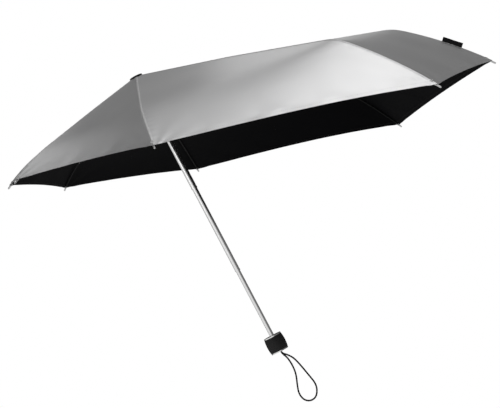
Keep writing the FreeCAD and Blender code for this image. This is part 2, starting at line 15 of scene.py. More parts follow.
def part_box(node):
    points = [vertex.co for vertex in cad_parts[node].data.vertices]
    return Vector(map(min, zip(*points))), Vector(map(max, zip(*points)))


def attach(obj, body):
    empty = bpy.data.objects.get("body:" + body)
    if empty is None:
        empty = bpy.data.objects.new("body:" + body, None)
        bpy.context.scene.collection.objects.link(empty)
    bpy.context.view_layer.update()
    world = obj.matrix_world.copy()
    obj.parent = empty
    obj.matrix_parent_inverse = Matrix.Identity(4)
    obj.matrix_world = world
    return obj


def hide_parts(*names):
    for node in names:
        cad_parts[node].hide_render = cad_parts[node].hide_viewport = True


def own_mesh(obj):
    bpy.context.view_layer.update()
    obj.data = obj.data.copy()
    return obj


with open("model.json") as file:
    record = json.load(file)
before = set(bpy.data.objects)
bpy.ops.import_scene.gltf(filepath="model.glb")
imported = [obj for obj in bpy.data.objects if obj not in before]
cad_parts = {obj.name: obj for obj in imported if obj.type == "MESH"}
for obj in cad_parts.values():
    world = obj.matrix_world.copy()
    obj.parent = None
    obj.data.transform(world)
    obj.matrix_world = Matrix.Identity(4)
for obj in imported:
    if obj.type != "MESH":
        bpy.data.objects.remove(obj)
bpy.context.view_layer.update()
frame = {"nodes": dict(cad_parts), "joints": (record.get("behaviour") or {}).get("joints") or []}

LOG = logging.getLogger("umbrella")
JOINTS: dict[str, dict] = {joint["name"]: joint for joint in frame["joints"]}
NODES: dict[str, bpy.types.Object] = frame["nodes"]
TURN = 2 * math.pi
WHITE = (1.0, 1.0, 1.0, 1.0)


# ---- shader maths ------------------------------------------------------------------------------
class Channel:
    """A number that varies over a surface, whose sums and products add Math nodes."""

    def __init__(self, graph: "Graph", socket: bpy.types.NodeSocket) -> None:
        """Keep the socket and the graph that it belongs to."""
        self.graph = graph
        self.socket = socket

    def maths(self, operation: str, *others: "Channel | float", clamp: bool = False) -> "Channel":
        """Run a Math node on this number.

        Args:
            operation: the Math node's operation.
            others: its second and third numbers.
            clamp: whether the result is held from 0 to 1.

        Returns:
            The result as a channel.
        """
        settings = {"operation": operation, "use_clamp": clamp}
        node = self.graph.node("ShaderNodeMath", settings, dict(enumerate((self, *others))))
        return Channel(self.graph, node.outputs[0])

    def __add__(self, other: "Channel | float") -> "Channel":
        """This number plus another."""
        return self.maths("ADD", other)

    def __sub__(self, other: "Channel | float") -> "Channel":
        """This number less another."""
        return self.maths("SUBTRACT", other)

    def __rsub__(self, other: float) -> "Channel":
        """A plain number less this one."""
        return self.maths("MULTIPLY_ADD", -1.0, other)

    def __mul__(self, other: "Channel | float") -> "Channel":
        """This number times another."""
        return self.maths("MULTIPLY", other)

    def __pow__(self, other: float) -> "Channel":
        """This number to a power."""
        return self.maths("POWER", other)

    __radd__ = __add__
    __rmul__ = __mul__

    def held(self) -> "Channel":
        """This number held from 0 to 1."""
        return self.maths("ADD", 0.0, clamp=True)

    def ramp(self, low: float, high: float) -> "Channel":
        """0 below low, 1 above high, and an even slope between them."""
        return ((self - low) * (1.0 / (high - low))).held()


class Graph:
    """A node tree that is written with one call a node."""

    def __init__(self, tree: bpy.types.NodeTree) -> None:
        """Empty the tree."""
        self.tree = tree
        self.tree.nodes.clear()

    def node(self, kind: str, settings: dict | None = None,
             sockets: dict | None = None) -> bpy.types.Node:
        """Add a node.

        Args:
            kind: the node's type.
            settings: its properties.
            sockets: the values, channels or sockets that go into its inputs.

        Returns:
            The node.
        """
        made = self.tree.nodes.new(kind)
        for key, value in (settings or {}).items():
            setattr(made, key, value)
        for key, value in (sockets or {}).items():
            if isinstance(value, Channel):
                value = value.socket
            if isinstance(value, bpy.types.NodeSocket):
                self.tree.links.new(value, made.inputs[key])
            else:
                made.inputs[key].default_value = value
        return made

    def mix(self, share: Channel, low: Sequence[float] | bpy.types.NodeSocket,
            high: Sequence[float] | bpy.types.NodeSocket) -> bpy.types.NodeSocket:
        """The colour between two colours at a share."""
        ends = [(*c, 1.0) if isinstance(c, tuple) else c for c in (low, high)]
        node = self.node("ShaderNodeMix", {"data_type": "RGBA"}, {0: share, 6: ends[0], 7: ends[1]})
        return node.outputs[2]

    def place(self, kind: str = "Object") -> bpy.types.NodeSocket:
        """Texture coordinates of a kind; a piece's Object and UV ones are in metres."""
        return self.node("ShaderNodeTexCoord").outputs[kind]

    def parts(self, vector: bpy.types.NodeSocket) -> list[Channel]:
        """The three numbers of a vector."""
        split = self.node("ShaderNodeSeparateXYZ", sockets={0: vector})
        return [Channel(self, socket) for socket in split.outputs]

    def noise(self, place: bpy.types.NodeSocket, scale: float, detail: float = 3.0,
              stretch: Sequence[float] = (1, 1, 1)) -> Channel:
        """Soft noise from 0 to 1, stretched by the given factors along the axes."""
        spread = self.node("ShaderNodeVectorMath", {"operation": "MULTIPLY"},
                           {0: place, 1: tuple(stretch)})
        made = self.node("ShaderNodeTexNoise", sockets={"Vector": spread.outputs[0],
                                                        "Scale": scale, "Detail": detail})
        return Channel(self, made.outputs["Fac"])


class Paint(Graph):
    """A material with one Principled shader."""

    def __init__(self, name: str, **constants: object) -> None:
        """Make the material.

        Args:
            name: the finish's name.
            constants: values of the shader's own sockets, with _ for a space.
        """
        self.material = bpy.data.materials.new(name)
        self.material.use_nodes = True
        super().__init__(self.material.node_tree)
        self.shader = self.node("ShaderNodeBsdfPrincipled")
        for key, value in constants.items():
            self.shader.inputs[key.replace("_", " ")].default_value = value
        self.node("ShaderNodeOutputMaterial", sockets={"Surface": self.shader.outputs[0]})

    def feed(self, socket: str, value: Channel | bpy.types.NodeSocket) -> None:
        """Link something that varies to one of the shader's sockets."""
        source = value.socket if isinstance(value, Channel) else value
        self.tree.links.new(source, self.shader.inputs[socket])

    def relief(self, height: Channel, depth: float, strength: float = 1.0) -> None:
        """Feed the shader's normal with a bump of the given depth in metres."""
        bump = self.node("ShaderNodeBump", sockets={"Height": height, "Distance": depth,
                                                    "Strength": strength})
        self.feed("Normal", bump.outputs[0])


# ---- finishes ----------------------------------------------------------------------------------
@dataclass(frozen=True)
class Cloth:
    """A fine woven cloth, plain or metal-coated, with its weave along the piece's map."""

    name: str
    colour: tuple[float, float, float]
    shade: tuple[float, float, float]
    roughness: float
    metallic: float = 0.0
    specular: float = 0.5
    pitch: float = 0.00055
    weave: float = 0.00005
    crease: float = 0.0004

    def material(self) -> bpy.types.Material:
        """Build the cloth's material."""
        paint = Paint(self.name, Metallic=self.metallic, IOR=1.45,
                      Specular_IOR_Level=self.specular)
        place = paint.place()
        along, across, _ = paint.parts(paint.place("UV"))
        warp = (along * (TURN / self.pitch)).maths("SINE")
        weft = (across * (TURN / self.pitch)).maths("SINE")
        weave = warp * weft * 0.5 + 0.5
        cloud = paint.noise(place, 7.0, 4.0)
        fleck = paint.noise(place, 900.0, 2.0)
        paint.feed("Base Color", paint.mix((cloud * 0.8 + fleck * 0.35 - 0.1).held(),
                                           self.shade, self.colour))
        paint.feed("Roughness", cloud * 0.12 + fleck * 0.06 + (self.roughness - 0.09))
        soft = paint.noise(place, 26.0, 2.0)
        paint.relief(weave * (self.weave / self.crease) + soft, self.crease, 0.5)
        return paint.material


@dataclass(frozen=True)
class Metal:
    """A metal drawn or turned along Z, with fine lines and rubbed patches."""

    name: str
    colour: tuple[float, float, float]
    roughness: float
    lines: float = 900.0
    stretch: tuple[float, float, float] = (1.0, 1.0, 0.02)
    depth: float = 0.00001

    def material(self) -> bpy.types.Material:
        """Build the metal's material."""
        paint = Paint(self.name, Metallic=1.0)
        place = paint.place()
        drawn = paint.noise(place, self.lines, 2.0, self.stretch)
        rubbed = paint.noise(place, 45.0, 4.0)
        dark = tuple(0.86 * c for c in self.colour)
        paint.feed("Base Color", paint.mix((rubbed * 0.7 + drawn * 0.5).held(), dark, self.colour))
        paint.feed("Roughness", rubbed * 0.1 + drawn * 0.08 + (self.roughness - 0.09))
        paint.relief(drawn, self.depth, 0.6)
        return paint.material


@dataclass(frozen=True)
class Coated:
    """A painted, moulded or rubber surface with a fine grain and rubbed lighter patches."""

    name: str
    colour: tuple[float, float, float]
    rubbed: tuple[float, float, float]
    roughness: float
    grain: float = 1400.0
    depth: float = 0.00004
    specular: float = 0.5

    def material(self) -> bpy.types.Material:
        """Build the surface's material."""
        paint = Paint(self.name, Specular_IOR_Level=self.specular)
        place = paint.place()
        fine = paint.noise(place, self.grain, 3.0)
        patch = paint.noise(place, 60.0, 5.0)
        worn = patch.ramp(0.52, 0.78) * 0.7 + fine * 0.3
        paint.feed("Base Color", paint.mix(worn, self.colour, self.rubbed))
        paint.feed("Roughness", patch * 0.16 + fine * 0.1 + (self.roughness - 0.13))
        paint.relief(fine, self.depth, 0.7)
        return paint.material


@dataclass(frozen=True)
class Braid:
    """Braided or ribbed yarn, with the yarns along the piece's map."""

    name: str
    colour: tuple[float, float, float]
    light: tuple[float, float, float]
    pitch: float
    slant: float
    roughness: float = 0.62

    def material(self) -> bpy.types.Material:
        """Build the yarn's material."""
        paint = Paint(self.name, Sheen_Weight=0.02, Sheen_Roughness=0.5, Specular_IOR_Level=0.12)
        along, across, _ = paint.parts(paint.place("UV"))
        one = ((along + across * self.slant) * (TURN / self.pitch)).maths("SINE")
        two = ((along - across * self.slant) * (TURN / self.pitch)).maths("SINE")
        yarn = (one.maths("MAXIMUM", two) * 0.5 + 0.5).held()
        fuzz = paint.noise(paint.place(), 2600.0, 3.0)
        paint.feed("Base Color", paint.mix(yarn * 0.6 + fuzz * 0.4, self.colour, self.light))
        paint.feed("Roughness", fuzz * 0.2 + (self.roughness - 0.1))
        paint.relief(yarn + fuzz * 0.4, 0.00012, 0.6)
        return paint.material


class Finish(Enum):
    """Every finish on the umbrella, made once each."""

    SILVER = Cloth("silver_coated_nylon", (0.80, 0.80, 0.80), (0.70, 0.70, 0.705), 0.40, 0.92)
    LINING = Cloth("black_lining", (0.0035, 0.0035, 0.004), (0.0016, 0.0016, 0.002), 0.62,
                   specular=0.035)
    THREAD = Coated("grey_thread", (0.42, 0.42, 0.42), (0.55, 0.55, 0.55), 0.55, 5000.0)
    DARK_THREAD = Coated("black_thread", (0.012, 0.012, 0.012), (0.03, 0.03, 0.03), 0.6, 5000.0)
    POLE = Metal("polished_aluminium", (0.90, 0.90, 0.90), 0.22)
    RING = Metal("bright_ring_metal", (0.88, 0.88, 0.87), 0.16, 1500.0, (1.0, 1.0, 8.0))
    TIP = Metal("dull_tip_metal", (0.74, 0.74, 0.74), 0.34, 1200.0, (1.0, 1.0, 1.0))
    RIB = Coated("black_rib_enamel", (0.006, 0.006, 0.0065), (0.014, 0.014, 0.015), 0.42, 900.0,
                 0.00002, 0.25)
    ROD = Coated("black_glass_fibre", (0.004, 0.004, 0.004), (0.009, 0.009, 0.009), 0.60, 2200.0,
                 0.00004, 0.15)
    SPRING = Metal("spring_steel", (0.50, 0.50, 0.51), 0.30, 1500.0, (1.0, 1.0, 1.0))
    PLASTIC = Coated("moulded_black_plastic", (0.006, 0.006, 0.0065), (0.014, 0.014, 0.014), 0.55,
                     1400.0, 0.00004, 0.2)
    RUBBER = Coated("matt_grip_rubber", (0.008, 0.0076, 0.0076), (0.022, 0.021, 0.021), 0.60,
                    1800.0, 0.00006, 0.3)
    CORD = Braid("braided_black_cord", (0.004, 0.004, 0.004), (0.012, 0.012, 0.012), 0.0016, 1.0)
    LABEL = Braid("woven_black_label", (0.004, 0.004, 0.0045), (0.012, 0.012, 0.013), 0.0009, 0.35)

    @property
    def material(self) -> bpy.types.Material:
        """The finish's material, built at its first use."""
        return bpy.data.materials.get(self.value.name) or self.value.material()


def dress(node: str, finish: Finish) -> None:
    """Give a carried-over CAD piece its finish, and smooth its shallow edges."""
    mesh = NODES[node].data
    mesh.materials.clear()
    mesh.materials.append(finish.material)
    mesh.set_sharp_from_angle(angle=math.radians(32))


# ---- mesh helpers ------------------------------------------------------------------------------
def placed(name: str, data: bpy.types.ID) -> bpy.types.Object:
    """Put an object with the given data in the scene."""
    made = bpy.data.objects.new(name, data)
    bpy.context.scene.collection.objects.link(made)
    return made


class Shape:
    """Vertices, faces, face finishes, vertex normals and maps that grow into one mesh."""

    def __init__(self) -> None:
        """Start empty."""
        self.points: list[np.ndarray] = []
        self.faces: list[tuple[int, ...]] = []
        self.finishes: list[int] = []
        self.normals: list[np.ndarray] = []
        self.maps: list[np.ndarray] = []
        self.count = 0

    def add(self, points: np.ndarray, faces: Sequence[tuple[int, ...]], finish: int = 0,
            normals: np.ndarray | None = None, maps: np.ndarray | None = None) -> int:
        """Add vertices and the faces between them.

        Args:
            points: the new vertices, one a row.
            faces: faces, numbered from the first new vertex.
            finish: the finish's place in the mesh's list.
            normals: the vertices' normals, where they are known.
            maps: the vertices' places on the piece's map.

        Returns:
            The number of the first new vertex in the whole mesh.
        """
        first = self.count
        self.points.append(points)
        self.normals.append(np.zeros_like(points) if normals is None else normals)
        self.maps.append(points[:, :2] if maps is None else maps)
        self.faces += [tuple(first + i for i in face) for face in faces]
        self.finishes += [finish] * len(faces)
        self.count += len(points)
        return first

    def made(self, name: str, finishes: Sequence[Finish]) -> bpy.types.Object:
        """Turn everything that was added into one smooth object.

        Args:
            name: the piece's name.
            finishes: its finishes, in the order that add numbers them.

        Returns:
            The object, in the scene.
        """
        mesh = bpy.data.meshes.new(name)
        points = np.concatenate(self.points)
        mesh.from_pydata(points.tolist(), [], self.faces)
        for finish in finishes:
            mesh.materials.append(finish.material)
        mesh.polygons.foreach_set("material_index", self.finishes)
        mesh.polygons.foreach_set("use_smooth", [True] * len(self.faces))
        layer = mesh.uv_layers.new(name="map")
        corners = np.array([loop.vertex_index for loop in mesh.loops])
        layer.data.foreach_set("uv", np.concatenate(self.maps)[corners].ravel())
        normals = np.concatenate(self.normals)
        if np.abs(normals).sum() > 0:
            mesh.normals_split_custom_set_from_vertices(normals.tolist())
        mesh.validate()
        return placed(name, mesh)


def grid_faces(rows: int, columns: int, closed: bool = False) -> list[tuple[int, ...]]:
    """Faces of a grid that is stored row by row, joined round its rows if closed."""
    wrap = columns if closed else columns - 1
    return [(r * columns + c, r * columns + (c + 1) % columns,
             (r + 1) * columns + (c + 1) % columns, (r + 1) * columns + c)
            for r in range(rows - 1) for c in range(wrap)]


def closing_faces(last: int, columns: int) -> list[tuple[int, ...]]:
    """Faces from a closed grid's last row, which starts at the given vertex, to its first."""
    return [(last + c, last + (c + 1) % columns, (c + 1) % columns, c) for c in range(columns)]


def turned_over(faces: Sequence[tuple[int, ...]]) -> list[tuple[int, ...]]:
    """The faces, facing the other way."""
    return [face[::-1] for face in faces]


def close_edge(shape: Shape, rows: int, columns: int, flipped: bool = False) -> None:
    """Close the edge between the mesh's first two grids, which are the two faces of a sheet.

    Args:
        shape: the mesh.
        rows: each grid's rows.
        columns: each grid's columns.
        flipped: whether the edge's faces are turned over.
    """
    count = rows * columns
    edge = (list(range(columns)) + [r * columns + columns - 1 for r in range(1, rows)]
            + [(rows - 1) * columns + c for c in range(columns - 2, -1, -1)]
            + [r * columns for r in range(rows - 2, 0, -1)])
    for a, b in zip(edge, [*edge[1:], edge[0]]):
        face = (b, a, a + count, b + count)
        shape.faces.append(face[::-1] if flipped else face)
        shape.finishes.append(0)


def unit(vectors: np.ndarray) -> np.ndarray:
    """The vectors at length 1."""
    return vectors / np.maximum(np.linalg.norm(vectors, axis=-1, keepdims=True), 1e-12)


def angles_round(count: int) -> np.ndarray:
    """Even angles round a circle."""
    return np.arange(count) * TURN / count


def round_z(angles: np.ndarray, radius: np.ndarray | float, height: float) -> np.ndarray:
    """Points round the Z axis."""
    return np.stack([radius * np.cos(angles), radius * np.sin(angles),
                     np.full(len(angles), height)], axis=1)


def run_of(path: np.ndarray) -> np.ndarray:
    """How far along a path each of its points lies."""
    return np.concatenate([[0], np.cumsum(np.linalg.norm(np.diff(path, axis=0), axis=1))])


def smoothstep(values: np.ndarray, low: float, high: float) -> np.ndarray:
    """0 below low, 1 above high, with a soft slope between them."""
    t = np.clip((values - low) / (high - low), 0, 1)
    return t * t * (3 - 2 * t)


def swept(shape: Shape, path: np.ndarray, radius: float | np.ndarray, sides: int,
          finish: int = 0, closed: bool = False) -> None:
    """Add a tube along a path.

    Args:
        shape: the mesh that it goes into.
        path: the centre line's points.
        radius: the tube's radius, or one for each point, or one for each point and side.
        sides: how many sides it has.
        finish: its finish's place in the mesh's list.
        closed: whether the path is a loop.
    """
    if closed:
        ahead = unit(np.roll(path, -1, 0) - np.roll(path, 1, 0))
    else:
        ahead = unit(np.gradient(path, axis=0))
    start = np.array((0.0, 0.0, 1.0)) if abs(ahead[0][2]) < 0.9 else np.array((0.0, 1.0, 0.0))
    frames = []
    side = start
    for direction in ahead:
        side = unit(side - direction * (side @ direction))
        frames.append((side, np.cross(direction, side)))
    angles = angles_round(sides)
    radii = np.broadcast_to(np.asarray(radius, float).reshape(-1, 1) if np.ndim(radius) == 1
                            else radius, (len(path), sides))
    rings = [p + np.outer(np.cos(angles) * r, one) + np.outer(np.sin(angles) * r, two)
             for p, (one, two), r in zip(path, frames, radii)]
    maps = np.stack([np.repeat(run_of(path), sides),
                     np.tile(angles * float(np.mean(radii)), len(path))], axis=1)
    faces = grid_faces(len(path), sides, True)
    last = (len(path) - 1) * sides
    if closed:
        faces += closing_faces(last, sides)
    else:
        faces += [tuple(range(sides))[::-1], tuple(range(last, last + sides))]
    shape.add(np.concatenate(rings), faces, finish, maps=maps)


def ring_path(centre: np.ndarray, axis: np.ndarray, radius: float, count: int) -> np.ndarray:
    """Points round a circle."""
    one = unit(np.cross(axis, (0.31, 0.52, 0.79)))
    two = np.cross(unit(axis), one)
    angles = angles_round(count)
    return centre + radius * (np.outer(np.cos(angles), one) + np.outer(np.sin(angles), two))


# One stitch's thread: half its width, its height off the cloth, and the share of its length
# over which each end runs in.
STITCH_HALF_WIDTH = 0.00017
STITCH_RISE = 0.00022
STITCH_TAPER = 0.28


def stitched(shape: Shape, points: np.ndarray, normals: np.ndarray, finish: int,
             length: float = 0.0021, pitch: float = 0.0031) -> None:
    """Add a row of single stitches along a line that lies on the cloth.

    Args:
        shape: the mesh that they go into.
        points: the line.
        normals: the cloth's normal at each point.
        finish: the thread's place in the mesh's list.
        length: one stitch's length.
        pitch: from one stitch to the next.
    """
    run = run_of(points)
    count = int(run[-1] / pitch)
    if count < 1:
        return
    middles = (np.arange(count) + 0.5) * run[-1] / count

    def along(values: np.ndarray, places: np.ndarray) -> np.ndarray:
        """The values at places along the line."""
        return np.stack([np.interp(places, run, values[:, i]) for i in range(3)], axis=1)

    start, end = along(points, middles - length / 2), along(points, middles + length / 2)
    up = unit(along(normals, middles))
    side = unit(np.cross(end - start, up)) * STITCH_HALF_WIDTH
    rise = up * STITCH_RISE
    taper = (end - start) * STITCH_TAPER
    corners = np.stack([start, start + taper + side, start + taper + rise, start + taper - side,
                        end - taper + side, end - taper + rise, end - taper - side, end], axis=1)
    faces = [(0, 1, 2), (0, 2, 3), (1, 4, 5, 2), (2, 5, 6, 3), (4, 7, 5), (5, 7, 6),
             (0, 3, 1), (1, 3, 6, 4), (4, 6, 7)]
    base = np.arange(count) * 8
    shape.add(corners.reshape(-1, 3),
              [tuple(int(b) + i for i in face) for b in base for face in faces], finish,
              normals=np.repeat(up, 8, axis=0))


# ---- cord --------------------------------------------------------------------------------------
@dataclass(frozen=True)
class WristCord:
    """The loop of braided cord under the grip."""

    diameter: float = 0.0032
    sides: int = 20
    braid_pitch: float = 0.0046
    braid_depth: float = 0.00009
    route: tuple[tuple[float, float, float], ...] = (
        (0.0012, -0.0022, -0.0163), (0.0012, -0.0022, -0.0213), (0.0066, -0.0019, -0.0327),
        (0.0081, -0.0013, -0.05), (0.0062, -0.0007, -0.067), (-0.0008, 0.0, -0.0845),
        (-0.0062, 0.0002, -0.101), (-0.0028, 0.0003, -0.1162), (0.0086, 0.0004, -0.1232),
        (0.0218, 0.0006, -0.1195), (0.0306, 0.0008, -0.1015), (0.0259, 0.0012, -0.0785),
        (0.0204, 0.0015, -0.053), (0.016, 0.0019, -0.0382), (0.0084, 0.0022, -0.0278),
        (0.0012, 0.0022, -0.0213), (0.0012, 0.0022, -0.0163))

    def centre_line(self) -> np.ndarray:
        """Points of the smooth spline whose control points are the route's."""
        curve = bpy.data.curves.new("cord_route", "CURVE")
        curve.dimensions = "3D"
        curve.resolution_u = 24
        spline = curve.splines.new("NURBS")
        spline.points.add(len(self.route) - 1)
        for point, place in zip(spline.points, self.route):
            point.co = (*place, 1.0)
        spline.order_u = 3
        spline.use_endpoint_u = True
        holder = placed("cord_route", curve)
        bpy.context.view_layer.update()
        line = bpy.data.meshes.new_from_object(holder)
        points = np.array([vertex.co for vertex in line.vertices], float)
        bpy.data.objects.remove(holder)
        return points

    def build(self) -> bpy.types.Object:
        line = self.centre_line()
        run = run_of(line)
        angles = angles_round(self.sides)
        phase = run[:, None] * (TURN / self.braid_pitch)
        relief = np.maximum(np.cos(4 * angles + phase), np.cos(4 * angles - phase))
        radii = self.diameter / 2 - self.braid_depth * (1 - relief)
        shape = Shape()
        swept(shape, line, radii, self.sides)
        cord = shape.made("braided_wrist_cord", [Finish.CORD])
        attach(cord, "handle")
        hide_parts("wrist_cord")
        LOG.info("%s is %.0f mm long", cord.name, run[-1] * 1000)
        return cord


# ---- grip and pole -----------------------------------------------------------------------------
@dataclass(frozen=True)
class Grip:
    """The short barrel grip: a knurled rubber sleeve between two bright rings."""

    end_radius: float = 0.0170
    bore: float = 0.0120
    knurls: int = 44
    knurl_pitch: float = 0.0027
    knurl_depth: float = 0.00032
    knurl_points: int = 6
    groove: float = 0.42
    rows: int = 56
    rounding: float = 0.0006
    plain: tuple[float, float] = (0.0006, 0.0018)

    def sleeve(self) -> bpy.types.Object:
        """Build the knurled sleeve in the room of its CAD solid."""
        low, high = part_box("handle_grip")
        middle, half = (high.x - low.x) / 2, (high.z - low.z) / 2
        around = self.knurls * self.knurl_points
        angles = angles_round(around)
        shape = Shape()
        rings = []
        for z in np.linspace(-half, half, self.rows):
            swell = middle - (middle - self.end_radius) * (z / half) ** 2
            edge = min(1.0, (half - abs(z)) / self.rounding)
            swell -= self.rounding * (1 - math.sqrt(max(0.0, 1 - (1 - edge) ** 2)))
            knurled = float(smoothstep(np.array(half - abs(z)), *self.plain))
            one = np.cos(self.knurls / 2 * angles + z * TURN / (2 * self.knurl_pitch))
            two = np.cos(self.knurls / 2 * angles - z * TURN / (2 * self.knurl_pitch))
            crest = smoothstep(np.minimum(np.abs(one), np.abs(two)), 0.0, self.groove)
            rings.append(round_z(angles, swell - knurled * self.knurl_depth * (1 - crest), z))
        rings += [round_z(angles, self.bore, z) for z in (half, -half)]
        faces = grid_faces(len(rings), around, True)
        shape.add(np.concatenate(rings), faces + closing_faces((len(rings) - 1) * around, around))
        sleeve = shape.made("knurled_grip_sleeve", [Finish.RUBBER])
        sleeve.data.set_sharp_from_angle(angle=math.radians(50))
        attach(sleeve, "handle")
        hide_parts("handle_grip")
        return sleeve

    def dress(self) -> None:
        """Finish the grip's carried-over pieces."""
        for node, finish in (("handle_core", Finish.PLASTIC), ("handle_top_ring", Finish.RING),
                             ("handle_base_ring", Finish.RING), ("handle_base_plate", Finish.RING),
                             ("strap_anchor", Finish.PLASTIC), ("handle_cross_pin", Finish.RING)):
            dress(node, finish)

    def build(self) -> None:
        """Build and dress the whole grip."""
        LOG.info("%s", self.sleeve().name)
        self.dress()


@dataclass(frozen=True)
class Pole:
    """The three-draw pole, its catch, the crown and the runner."""

    wire: float = 0.0005
    wire_radius: float = 0.0089
    eye_height: float = 0.0017

    def runner_wire(self) -> bpy.types.Object:
        """Build the wire that the eight stretcher feet hang on."""
        low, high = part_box("runner")
        crown = JOINTS["tail_inner_hinge"]["pos_m"][2]
        feet = [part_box(f"{rib.name}_stretcher")[0].z for rib in RIBS]
        height = min(max(min(feet) + self.eye_height, low.z), high.z)
        shape = Shape()
        path = ring_path(np.array((0.0, 0.0, height)), np.array((0.0, 0.0, 1.0)),
                         self.wire_radius, 48)
        swept(shape, path, self.wire, 8, closed=True)
        wire = shape.made("runner_pivot_wire", [Finish.SPRING])
        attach(wire, "runner")
        LOG.info("%s hangs %.0f mm under the crown", wire.name, (crown - height) * 1000)
        return wire

    def build(self) -> None:
        """Finish the pole's carried-over pieces and add the runner's wire."""
        for node in ("bottom_tube", "mid_tube", "top_tube"):
            dress(node, Finish.POLE)
        for node in ("crown_hub", "crown_cap", "runner", "runner_collar"):
            dress(node, Finish.PLASTIC)
        for node in ("crown_wire", "catch_nose", "catch_spring"):
            dress(node, Finish.SPRING)
        self.runner_wire()


# ---- ribs --------------------------------------------------------------------------------------
@dataclass(frozen=True)
class Rib:
    """One of the eight ribs: its place round the crown, and the outer rod's sizes and bend."""

    name: str
    azimuth: float
    outer: float
    droop: float
    bend: float
    hinge_offset: float = 0.0025
    sleeve: float = 0.012
    lift: float = 0.0047
    tip_lift: float = 0.0022
    hem_in: float = 0.003
    binding_turns: int = 6
    binding_in: float = 0.0056
    binding_pitch: float = 0.0006
    binding_radius: float = 0.00185
    rivet_reach: tuple[float, ...] = (0.0, 0.0012, 0.00225, 0.00245, 0.00255)
    rivet_radii: tuple[float, ...] = (0.0007, 0.0007, 0.00095, 0.0008, 0.0003)

    @property
    def heading(self) -> np.ndarray:
        """The rib's level direction from the crown."""
        turn = math.radians(self.azimuth)
        return np.array((math.cos(turn), math.sin(turn), 0.0))

    def pivot(self, segment: str) -> np.ndarray:
        """A hinge's distance from the pole's axis, and its height."""
        place = np.array(JOINTS[f"{self.name}_{segment}_hinge"]["pos_m"])
        return np.array((place @ self.heading, place[2]))

    def spatial(self, flat: np.ndarray) -> np.ndarray:
        """Points of the rib's own plane in space."""
        flat = np.asarray(flat, float)
        return flat[..., :1] * self.heading + flat[..., 1:] * np.array((0.0, 0.0, 1.0))

    def rod(self, share: float) -> tuple[np.ndarray, float]:
        """A point on the outer rod's centre line, and the droop there in radians."""
        droop, bend = math.radians(self.droop), math.radians(self.bend)
        start = self.pivot("outer") + normal(droop) * self.hinge_offset
        radius = (self.outer - self.sleeve) / bend
        run = share * self.outer
        turn = max(0.0, run - self.sleeve) / radius
        x = min(run, self.sleeve) + radius * math.sin(turn)
        z = -radius * (1 - math.cos(turn))
        return start + ahead(droop) * x + normal(droop) * z, droop + turn

    def rivets(self) -> None:
        """Build the domed rivet heads of the rib's three hinges."""
        for body, segments in (("inner", ("mid", "stretcher")), ("mid", ("outer",))):
            shape = Shape()
            for segment in segments:
                joint = JOINTS[f"{self.name}_{segment}_hinge"]
                centre, axis = np.array(joint["pos_m"]), unit(np.array(joint["axis"], float))
                for side in (-1, 1):
                    reach = np.array(self.rivet_reach) * side
                    swept(shape, centre + np.outer(reach, axis), np.array(self.rivet_radii), 12)
            rivets = shape.made(f"{self.name}_{body}_rivets", [Finish.SPRING])
            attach(rivets, f"{self.name}_{body}")

    def binding(self) -> None:
        """Build the thread bound round the rod at the cloth's corner."""
        shape = Shape()
        for i in range(self.binding_turns):
            centre, droop = self.rod(1 - (self.binding_in + self.binding_pitch * i) / self.outer)
            path = ring_path(self.spatial(centre), self.spatial(ahead(droop)),
                             self.binding_radius, 16)
            swept(shape, path, self.binding_pitch / 2, 6, closed=True)
        binding = shape.made(f"{self.name}_tip_binding", [Finish.THREAD])
        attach(binding, f"{self.name}_outer")

    def build(self) -> None:
        """Finish the rib's carried-over pieces and build its small parts."""
        for part, finish in (("inner_rib", Finish.RIB), ("mid_rib", Finish.RIB),
                             ("stretcher", Finish.RIB), ("outer_rib", Finish.ROD),
                             ("tip", Finish.TIP)):
            dress(f"{self.name}_{part}", finish)
        self.rivets()
        self.binding()


def ahead(droop: float) -> np.ndarray:
    """Direction along a line that falls outwards at a droop, in a rib's plane."""
    return np.array((math.cos(droop), -math.sin(droop)))


def normal(droop: float) -> np.ndarray:
    """Direction square to such a line, upwards."""
    return np.array((math.sin(droop), math.cos(droop)))


def droop_of(run: np.ndarray) -> float:
    """The droop of a line in a rib's plane."""
    return math.atan2(-run[1], run[0])


RIBS = (
    Rib("tail", 0.0, 0.192, 39.0, 13.0),
    Rib("rear_right", 45.0, 0.203, 40.5, 12.0),
    Rib("side_right", 90.0, 0.163, 21.5, 15.0),
    Rib("front_right", 135.0, 0.089, 15.5, 9.0),
    Rib("front", 180.0, 0.071, 13.5, 13.0),
    Rib("front_left", -135.0, 0.089, 15.5, 9.0),
    Rib("side_left", -90.0, 0.163, 21.5, 15.0),
    Rib("rear_left", -45.0, 0.203, 40.5, 12.0),
)


# ---- canopy ------------------------------------------------------------------------------------
# The cloth's thickness.
CLOTH = 0.0004
# Across a seam: the place as a share of its half width, its lift, and its normal's tilt.
SEAM_PROFILE = np.array(((-1.0, 0.0, -0.50), (-0.93, 0.00026, -0.34), (-0.5, 0.00036, -0.14),
                         (0.0, 0.00042, 0.0), (0.5, 0.00036, 0.14), (0.93, 0.00026, 0.34),
                         (1.0, 0.0, 0.50)))


class Segment(Enum):
    """The three lengths of a rib that the cloth folds with."""

    INNER = "inner"
    MID = "mid"
    OUTER = "outer"


